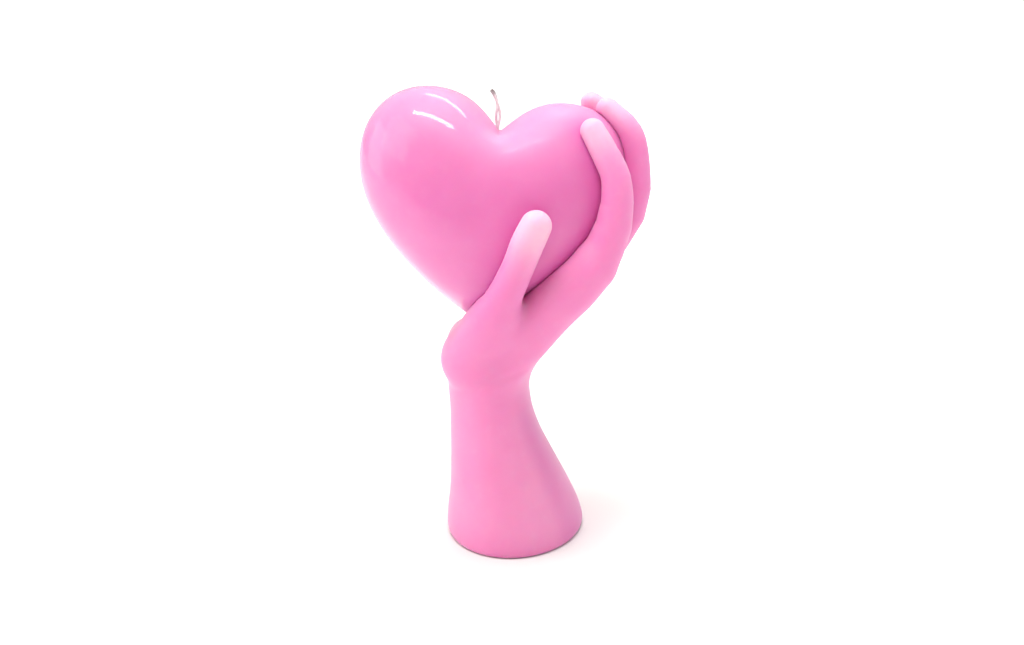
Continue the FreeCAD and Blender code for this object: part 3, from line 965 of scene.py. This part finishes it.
@dataclass(frozen=True)
class Hand:
    """The cast hand on its flared forearm, hollowed where the heart sits in it.

    The forearm's oval is given at rising levels: its centre, half width and half depth.
    Fields ending in fade are the ends of a climb, and those ending in fillet say how far a
    rounding reaches.
    """

    finish: WaxFinish
    heart: Heart
    levels: tuple[float, ...] = (-2, 8, 20, 35, 50, 62, 72, 84)
    centres: tuple[float, ...] = (0, -1.2, -3.2, -6.7, -10.3, -12.2, -13.0, -12.5)
    widths: tuple[float, ...] = (32.6, 31.3, 28.2, 24.3, 20.8, 19.1, 18.9, 20.0)
    depths: tuple[float, ...] = (42.6, 41.0, 36.9, 31.8, 28.2, 26.6, 26.6, 27.0)
    twist: float = 10.0
    twist_top: float = 60.0
    arm_top: float = 82.0
    arm_fillet: float = 10.0
    rim_fillet: float = 5.2
    seat_gap: float = 0.05
    seat_fillet: float = 0.5
    roots: tuple[Point, ...] = ((-11, -14, 82), (-9.5, -5, 80), (-8.5, 5, 80), (-9.5, 14, 82))
    root_radii: tuple[float, ...] = (13.0, 13.2, 13.2, 12.5)
    root_swell: float = 0.4
    root_fillet: float = 7.0
    heel: Pad = Pad((-21.0, -13, 87), (-20.4, 15, 86), 13.6, 12.6, 9.0)
    thumb_root: Point = (-17, -15, 94)
    thumb_root_radius: float = 13.5
    thumb_root_fillet: float = 8.0
    web: Pad = Pad((-2, -24, 105), (24, -24, 122), 8.0, 8.0, 10.0)
    thumb_fillet: float = 5.0
    finger_fillet: float = 1.4
    knuckle_fillet: float = 7.0
    fold_height: float = 83.7
    fold_rise: float = 0.39
    fold_depth: float = 0.55
    fold_width: float = 2.0
    fold_front_fade: Span = (6.0, 20.0)
    fold_side_fade: Span = (-12.0, 0.0)
    # painted shade where the heart comes near
    recess_shade_reach: float = 7.5
    recess_shade_depth: float = 0.58
    # painted shade down the fingers' side of the forearm
    flank_shade_depth: float = 0.36
    flank_fade: Span = (0.55, 0.85)
    flank_top_fade: Span = (55.0, 80.0)
    # painted light round the finger and thumb tips, where light shines through the thin wax
    tip_glow_reach: float = 14.0
    tip_glow_depth: float = 0.8
    # painted light on faces turned up
    top_light_depth: float = 0.4
    fingers: tuple[Finger, ...] = (
        Finger(((16, -24, 117), (33.2, -25, 133.0), (43.3, -26, 161.5), (42.6, -25, 172.5),
                (38.0, -22, 182.5), (32.6, -18, 192.0)), (9.5, 9.2, 7.2, 6.4, 6.0, 5.4)),
        Finger(((16, -8, 115), (34.8, -8, 133.5), (52.4, -7, 164.5), (52.0, -5, 177.5),
                (49.8, -3, 188.0), (40.2, 2, 198.2)), (9.6, 9.0, 7.2, 6.7, 6.3, 5.3)),
        Finger(((15, 8, 111), (33.5, 10, 129.0), (51.2, 12, 160.0), (50.0, 12.5, 176.5),
                (46.0, 13.5, 189.0), (33.6, 15, 199.6)), (9.6, 8.8, 6.9, 6.4, 5.9, 4.8)),
        Finger(((12, 22, 108), (30.0, 25, 121.5), (41.5, 28, 147.5), (40.8, 29, 162.0),
                (38.2, 29, 173.5), (31.5, 29, 184.9)), (8.6, 7.8, 6.1, 5.6, 5.1, 4.4)),
    )
    thumb: Finger = Finger(((-15, -17, 96), (-9.0, -29.5, 114.0), (-4.0, -36, 126.0),
                            (0.9, -39.5, 138.0), (4.5, -41.8, 147.9), (7.9, -42.2, 155.3)),
                           (12.5, 9.6, 7.6, 7.0, 7.2, 6.8), 0.1)
    net: SurfaceNet = SurfaceNet((-42.0, -56.0, -4.0), (66.0, 46.0, 212.0), 1.0)

    def arm(self, points: np.ndarray) -> np.ndarray:
        """Field of the forearm, an oval column that slims and turns up to the wrist."""
        height = points[:, 2]
        across = points[:, 0] - smooth_curve(height, self.levels, self.centres)
        wide = smooth_curve(height, self.levels, self.widths)
        deep = smooth_curve(height, self.levels, self.depths)
        turn = math.radians(self.twist) * np.clip(1.0 - height / self.twist_top, 0.0, 1.0)
        x = (across * np.cos(turn) - points[:, 1] * np.sin(turn)) / wide
        y = (across * np.sin(turn) + points[:, 1] * np.cos(turn)) / deep
        out = np.sqrt(x * x + y * y)
        steep = np.sqrt((x / wide) ** 2 + (y / deep) ** 2) / np.maximum(out, TINY)
        column = (out - 1.0) / np.maximum(steep, TINY)
        return cut_away(column, self.arm_top - height, self.arm_fillet)

    def palm(self, points: np.ndarray, arm: np.ndarray) -> np.ndarray:
        """Adds the palm, its pads and the web of the thumb to the forearm.

        Args:
            points: places in millimetres, one row each.
            arm: the forearm's field there.

        Returns:
            The joined field.
        """
        pads = [
            Pad(root, finger.line[1], radius, finger.radii[1] + self.root_swell, self.root_fillet)
            for root, radius, finger in zip(self.roots, self.root_radii, self.fingers)
        ]
        pads.append(self.heel)
        pads.append(Pad(self.thumb_root, self.thumb.line[1], self.thumb_root_radius,
                        self.thumb.radii[1], self.thumb_root_fillet))
        pads.append(self.web)
        result = arm
        for pad in pads:
            result = pad.join(result, points)
        off = points[:, 2] - self.fold_height - self.fold_rise * points[:, 0]
        fold = np.exp(-(off / self.fold_width) ** 2)
        fold = fold * smooth_step(-points[:, 1], *self.fold_front_fade)
        return result + self.fold_depth * fold * smooth_step(-points[:, 0], *self.fold_side_fade)

    def whole(self, points: np.ndarray) -> np.ndarray:
        """Field of the hand before the heart is pressed into it."""
        result = self.palm(points, self.arm(points))
        result = blend_in(result, self.thumb.distance(points), self.thumb_fillet)
        spread = self.fingers[0].distance(points)
        for finger in self.fingers[1:]:
            spread = blend_in(spread, finger.distance(points), self.finger_fillet)
        return blend_in(result, spread, self.knuckle_fillet)

    def distance(self, points: np.ndarray) -> np.ndarray:
        """Field of the hand, cut by the heart and by the level it stands on.

        Args:
            points: places in millimetres, one row each.

        Returns:
            Signed distances.
        """
        seat = self.heart.distance(points) - self.seat_gap
        result = cut_away(self.whole(points), seat, self.seat_fillet)
        return cut_away(result, points[:, 2], self.rim_fillet)

    def flank(self, points: np.ndarray) -> np.ndarray:
        """How much painted shade lies down the fingers' side of the forearm."""
        height = points[:, 2]
        aside = points[:, 0] - smooth_curve(height, self.levels, self.centres)
        share = aside / smooth_curve(height, self.levels, self.widths)
        fade = 1.0 - smooth_step(height, *self.flank_top_fade)
        return self.flank_shade_depth * smooth_step(share, *self.flank_fade) * fade

    def build(self) -> bpy.types.Object:
        """Makes the hand and puts it in the frame.

        Returns:
            The hand's object.
        """
        vertices, quads = self.net.build(self.distance)
        thing = mesh_object("hand_wax", vertices, quads, self.finish.build())
        # painted shade where the heart comes near and down the fingers' side of the forearm
        near = closeness(self.heart.distance(vertices), self.recess_shade_reach)
        paint(thing, Tint.RECESS_SHADE, np.maximum(near * self.recess_shade_depth, self.flank(vertices)))
        # painted light: paler round the tips and on faces turned up
        tips = np.array([finger.line[-1] for finger in (*self.fingers, self.thumb)], dtype=float)
        off = np.linalg.norm(vertices[:, None] - tips[None], axis=2).min(1)
        thin = self.tip_glow_depth * np.exp(-(off / self.tip_glow_reach) ** 2)
        paint(thing, Tint.PAINTED_LIGHT, np.maximum(thin, self.top_light_depth * top_light(thing)))
        paint(thing, Tint.POLISH, np.ones(len(vertices)))
        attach(thing, "root")
        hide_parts("hand")
        return thing


# ---------------------------------------------------------------- wick
Strand = tuple[np.ndarray, np.ndarray]


@dataclass(frozen=True)
class Wick:
    """Two cotton plies twisted round each other, with loose fibres at the free end.

    The plies part a little between part_from and part_to and thin over the last taper_run.
    Fibres wind round each of them once every fibre_pitch, from fibre_depth below the cleft
    up. hair_zone counts points of the centre line back from its end.
    """

    finish: CottonFinish
    foot: Point = (0.0, 0.0, 0.6)
    cleft: Point = (-8.6, 0.0, 190.3)
    route: tuple[Point, ...] = (
        (-8.3, -0.1, 197.4), (-8.6, 0.0, 200.6), (-9.5, 0.1, 204.0), (-10.6, 0.1, 206.3),
        (-11.8, 0.1, 207.5),
    )
    spacing: float = 0.5
    bend_share: float = 0.9
    ply_radius: float = 0.5
    lay: float = 0.45
    least_lay: float = 0.4
    pitch: float = 26.0
    part_from: float = 191.0
    part_to: float = 201.0
    parting: float = 0.4
    taper_run: float = 2.5
    taper_power: float = 0.6
    taper_loss: float = 0.45
    sides: int = 12
    fibres: int = 9
    fibre_pitch: float = 5.2
    fibre_sink: float = 0.93
    fibre_radius: float = 0.15
    fibre_spread: float = 0.04
    fibre_depth: float = 6.0
    hairs: int = 16
    hair_zone: tuple[int, int] = (32, 3)
    hair_steps: int = 8
    hair_start: float = 0.5
    hair_length: Span = (0.5, 1.3)
    hair_droop: float = 0.4
    hair_radius: float = 0.035
    hair_root: float = 1.05
    seed: int = 7

    def centre_line(self) -> np.ndarray:
        """Evenly spaced points along the wick, from its foot to its free end.

        Returns:
            Points in millimetres, about the spacing apart.
        """
        bend = (self.cleft[0] * self.bend_share, 0.0, self.cleft[2] * self.bend_share)
        keys = np.array([self.foot, bend, self.cleft, *self.route])
        way = lengths(keys)
        at = np.arange(0.0, way[-1], self.spacing)
        return np.stack([smooth_curve(at, way, keys[:, k]) for k in range(3)], 1)

    def frames(self, line: np.ndarray) -> tuple[np.ndarray, np.ndarray]:
        """Two directions square to the line at each of its points."""
        way = np.gradient(line, axis=0)
        way /= np.linalg.norm(way, axis=1)[:, None]
        side = np.cross(np.array([0.0, 1.0, 0.0]), way)
        side /= np.linalg.norm(side, axis=1)[:, None]
        return side, np.cross(way, side)

    def tube(self, line: np.ndarray, radii: np.ndarray) -> tuple[np.ndarray, Rows]:
        """A closed tube along a line.

        Args:
            line: centre points.
            radii: radius at each point.

        Returns:
            Vertices and faces.
        """
        side, up = self.frames(line)
        turn = np.linspace(0.0, 2.0 * math.pi, self.sides, endpoint=False)
        ring = around(turn, side[:, None], up[:, None])
        vertices = (line[:, None] + ring * radii[:, None, None]).reshape(-1, 3)
        count = self.sides
        faces = [
            [row + k, row + (k + 1) % count, row + count + (k + 1) % count, row + count + k]
            for row in range(0, (len(line) - 1) * count, count) for k in range(count)
        ]
        faces.append(list(range(count))[::-1])
        faces.append([(len(line) - 1) * count + k for k in range(count)])
        return vertices, faces

    def plies(self, line: np.ndarray, random: np.random.Generator) -> list[Strand]:
        """The two plies, each with fibres wound round its upper end.

        Args:
            line: the wick's centre line.
            random: where each fibre's thickness is drawn from.

        Returns:
            One strand for each ply and each fibre.
        """
        side, up = self.frames(line)
        height = line[:, 2]
        way = np.arange(len(line)) * self.spacing
        turn = 2.0 * math.pi * way / self.pitch
        parted = (height - self.part_from) / (self.part_to - self.part_from)
        bow = np.sin(np.pi * np.clip(parted, 0.0, 1.0))
        left = np.clip((way[-1] - way) / self.taper_run, 0.0, 1.0)
        taper = left ** self.taper_power * self.taper_loss + (1.0 - self.taper_loss)
        reach = self.lay + self.parting * bow
        reach = reach * (self.least_lay + (1.0 - self.least_lay) * taper)
        above = height > self.cleft[2] - self.fibre_depth
        lift = self.ply_radius * taper * self.fibre_sink
        made = []
        for ply in (0, 1):
            path = line + reach[:, None] * around(turn + math.pi * ply, side, up)
            made.append((path, self.ply_radius * taper))
            for number in range(self.fibres):
                spin = 2.0 * math.pi * (number / self.fibres + way / self.fibre_pitch)
                fibre = path + lift[:, None] * around(spin, side, up)
                radius = self.fibre_radius + self.fibre_spread * random.random()
                made.append((fibre[above], np.full(int(above.sum()), radius)))
        return made

    def loose_hairs(self, line: np.ndarray, random: np.random.Generator) -> list[Strand]:
        """Short hairs that stand out near the free end and droop a little.

        Args:
            line: the wick's centre line.
            random: where their places, directions and lengths are drawn from.

        Returns:
            One strand for each hair.
        """
        t = np.linspace(0.0, 1.0, self.hair_steps)[:, None]
        droop = np.array([0.0, 0.0, -self.hair_droop])
        first, last = (len(line) - count for count in self.hair_zone)
        made = []
        for _ in range(self.hairs):
            at = int(random.integers(first, last))
            out = random.normal(size=3)
            out /= np.linalg.norm(out)
            reach = self.hair_start + t * random.uniform(*self.hair_length)
            made.append((line[at] + out * reach + droop * t * t,
                         self.hair_radius * (self.hair_root - t[:, 0])))
        return made

    def build(self) -> bpy.types.Object:
        """Makes the wick and puts it in the frame.

        Returns:
            The wick's object.
        """
        random = np.random.default_rng(self.seed)
        centre = self.centre_line()
        vertices, faces, count = [], [], 0
        for line, radii in self.plies(centre, random) + self.loose_hairs(centre, random):
            spots, rows = self.tube(line, radii)
            vertices.append(spots)
            faces += [[number + count for number in row] for row in rows]
            count += len(spots)
        thing = mesh_object("wick_cotton", np.concatenate(vertices), faces, self.finish.build())
        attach(thing, "root")
        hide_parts("wick")
        return thing


@dataclass(frozen=True)
class WickTab:
    """The pressed tab in the foot, as the frame has it, in a metal finish."""

    finish: TinFinish

    def dress(self, node: bpy.types.Object) -> None:
        """Gives the frame's own tab its material.

        Args:
            node: the tab's object in the frame.
        """
        material = self.finish.build()
        for place in node.material_slots:
            place.material = material


# ---------------------------------------------------------------- studio
# where the panels point, where the two highlight strips point, and the panels' warm white
STUDIO_AIM = (0.0, 0.0, 0.12)
STRIP_AIM = (-0.04, 0.0, 0.20)
WARM = (1.0, 0.985, 0.88)


@dataclass(frozen=True)
class Panel:
    """A soft light panel aimed at a point, in metres; along is the way its first side runs."""

    name: str
    place: Point
    power: float
    aim: Point = STUDIO_AIM
    size: Span = (0.7, 0.7)
    colour: Colour = WARM
    glossy: bool = True
    along: Optional[Point] = None

    def build(self) -> None:
        """Hangs the panel in the scene."""
        light = bpy.data.lights.new(self.name, "AREA")
        light.shape = "RECTANGLE"
        light.size, light.size_y = self.size
        light.energy = self.power
        light.color = self.colour
        thing = bpy.data.objects.new(self.name, light)
        thing.location = self.place
        back = (Vector(self.place) - Vector(self.aim)).normalized()
        run = Vector(self.along or (-back.y, back.x, 0.0))
        up = back.cross(run).normalized()
        axes = Matrix((up.cross(back), up, back)).transposed()
        thing.rotation_euler = axes.to_euler()
        thing.visible_glossy = self.glossy
        bpy.context.scene.collection.objects.link(thing)


@dataclass(frozen=True)
class Studio:
    """Floor, daylight, panels and camera, in metres.

    The camera looks down by its pitch in degrees. sky is how bright the daylight is, and
    backdrop how bright it looks to the camera behind the floor's far edge.
    """

    floor_finish: FloorFinish
    camera_place: Point = (-0.0022, -0.630, 0.288)
    camera_pitch: float = 16.6
    lens: float = 50.0
    sensor: float = 36.0
    nearest: float = 0.01
    sky: float = 0.32
    backdrop: float = 1.0
    floor_size: float = 14.0
    panels: tuple[Panel, ...] = (
        Panel("top", (-0.10, 0.10, 1.20), 9.5, glossy=False),
        Panel("front_top", (0.0, -0.7, 1.0), 3.0, glossy=False),
        Panel("back_top", (0.0, 0.85, 0.85), 3.5, glossy=False),
        Panel("left_high", (-0.90, -0.50, 0.80), 2.4),
        Panel("left", (-1.15, 0.0, 0.45), 3.2),
        Panel("left_low", (-1.10, -0.45, 0.12), 0.7),
        Panel("right", (1.10, 0.0, 0.50), 2.0, colour=WHITE, glossy=False),
        Panel("front_strip", (-0.160, -0.347, 1.089), 4.0, STRIP_AIM, (0.58, 0.09), WHITE,
              along=(0.938, -0.345, -0.008)),
        Panel("back_strip", (0.159, 0.294, 1.087), 2.2, STRIP_AIM, (0.60, 0.09), WHITE,
              along=(0.911, -0.408, -0.064)),
    )

    def lay_floor(self) -> None:
        """Lays the square floor."""
        half = self.floor_size / 2
        corners = np.array([(-half, -half, 0), (half, -half, 0), (half, half, 0), (-half, half, 0)])
        floor = mesh_object("floor", corners / MM, [[0, 1, 2, 3]], self.floor_finish.build())

    def light_sky(self) -> None:
        """Lights the world all round and shows it as a pale backdrop."""
        world = bpy.data.worlds.new("daylight")
        world.use_nodes = True
        nodes, links = world.node_tree.nodes, world.node_tree.links
        nodes["Background"].inputs["Color"].default_value = (*WHITE, 1.0)
        seen = nodes.new("ShaderNodeMapRange")
        seen.inputs["To Min"].default_value = self.sky
        seen.inputs["To Max"].default_value = self.backdrop
        links.new(nodes.new("ShaderNodeLightPath").outputs["Is Camera Ray"], seen.inputs["Value"])
        links.new(seen.outputs["Result"], nodes["Background"].inputs["Strength"])
        bpy.context.scene.world = world

    def place_camera(self) -> None:
        """Puts the camera in front of the candle."""
        scene = bpy.context.scene
        scene.view_settings.view_transform = "Standard"
        lens = bpy.data.cameras.new("camera")
        lens.lens = self.lens
        lens.sensor_width = self.sensor
        lens.clip_start = self.nearest
        camera = bpy.data.objects.new("camera", lens)
        camera.location = self.camera_place
        camera.rotation_euler = (math.radians(90.0 - self.camera_pitch), 0.0, 0.0)
        scene.collection.objects.link(camera)
        scene.camera = camera

    def build(self) -> None:
        """Sets up everything around the candle."""
        self.lay_floor()
        for panel in self.panels:
            panel.build()
        self.light_sky()
        self.place_camera()


def main() -> None:
    """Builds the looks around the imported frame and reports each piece."""
    logging.basicConfig(level=logging.INFO, format="%(message)s")
    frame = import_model()
    Studio(FLOOR).build()
    LOG.info("studio set up")
    heart = Heart(HEART_WAX)
    hand = Hand(HAND_WAX, heart)
    made = heart.build(hand.whole)
    LOG.info("heart: %d vertices", len(made.data.vertices))
    made = hand.build()
    LOG.info("hand: %d vertices", len(made.data.vertices))
    made = Wick(WICK_COTTON).build()
    LOG.info("wick: %d vertices", len(made.data.vertices))
    WickTab(TAB_TIN).dress(frame["nodes"]["wick_tab"])
    LOG.info("wick tab dressed")


if __name__ == "__main__":
    main()
